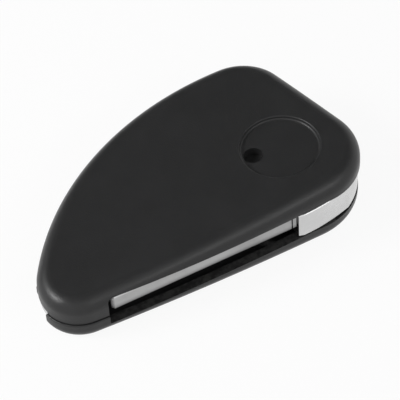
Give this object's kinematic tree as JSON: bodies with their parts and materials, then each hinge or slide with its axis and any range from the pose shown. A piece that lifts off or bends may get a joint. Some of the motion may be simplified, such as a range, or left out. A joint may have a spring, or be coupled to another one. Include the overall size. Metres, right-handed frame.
{
  "type": "flip key fob shell",
  "caption": "Wedge-shaped black flip key shell with a folded blade in its side slot, chrome flip head and round badge recess.",
  "frame": {"origin": "centre of the flat front face's bounding box, on the surface that the shell lies on", "axes": "+X from the tip towards the wide end with the flip head, +Y from the slotted straight side towards the curved side, +Z from the key face up to the back with the badge recess"},
  "size_m": [0.0658, 0.0386, 0.0139],
  "materials": {
    "shell_plastic": "fine grained black plastic",
    "head_chrome": "satin chrome plate on cast zinc",
    "blade_steel": "nickel plated blank, satin",
    "pin_steel": "plain spring steel",
    "button_chrome": "bright chrome",
    "spring_steel": "drawn wire, bright",
    "key_rubber": "soft touch, matt",
    "pad_rubber": "grey silicone",
    "tray_plastic": "black plastic",
    "contact_metal": "plated spring strip",
    "bow_chrome": "bright chrome",
    "screw_steel": "black oxide"
  },
  "bodies": {
    "shell": {"rear_cover": "shell_plastic", "front_cover": "shell_plastic", "spring_plate": "pin_steel", "key_pad": "pad_rubber", "board_tray": "tray_plastic", "contact_plus": "contact_metal", "contact_minus": "contact_metal", "key_ring_bow": "bow_chrome", "cover_screws": "screw_steel", "flip_spring": "spring_steel", "button_spring": "spring_steel"},
    "flip_head": {"blade_head": "head_chrome", "blade": "blade_steel", "blade_pin": "pin_steel"},
    "release": {"release_button": "button_chrome"},
    "lock": {"lock_key": "key_rubber"},
    "unlock": {"unlock_key": "key_rubber"},
    "boot": {"boot_key": "key_rubber"}
  },
  "joints": [
    {"name": "blade_flip", "type": "hinge", "parent": "shell", "child": "flip_head", "pos_m": [0.01889, -0.00536, 0], "axis": [-0.0332, 0, 0.9995], "range_deg": [0, 180]},
    {"name": "release_press", "type": "slide", "parent": "flip_head", "child": "release", "axis": [-0.0332, 0, 0.9995], "range_m": [0, 0.0013], "stiffness_N_per_m": 900, "springref_m": -0.001, "deforming": ["button_spring", "flip_spring"]},
    {"name": "lock_press", "type": "slide", "parent": "shell", "child": "lock", "axis": [0, 0, 1], "range_m": [0, 0.0005], "stiffness_N_per_m": 1500, "springref_m": -0.0001, "deforming": ["key_pad"]},
    {"name": "unlock_press", "type": "slide", "parent": "shell", "child": "unlock", "axis": [0, 0, 1], "range_m": [0, 0.0005], "stiffness_N_per_m": 1500, "springref_m": -0.0001, "deforming": ["key_pad"]},
    {"name": "boot_press", "type": "slide", "parent": "shell", "child": "boot", "axis": [0, 0, 1], "range_m": [0, 0.0005], "stiffness_N_per_m": 1500, "springref_m": -0.0001, "deforming": ["key_pad"]}
  ]
}
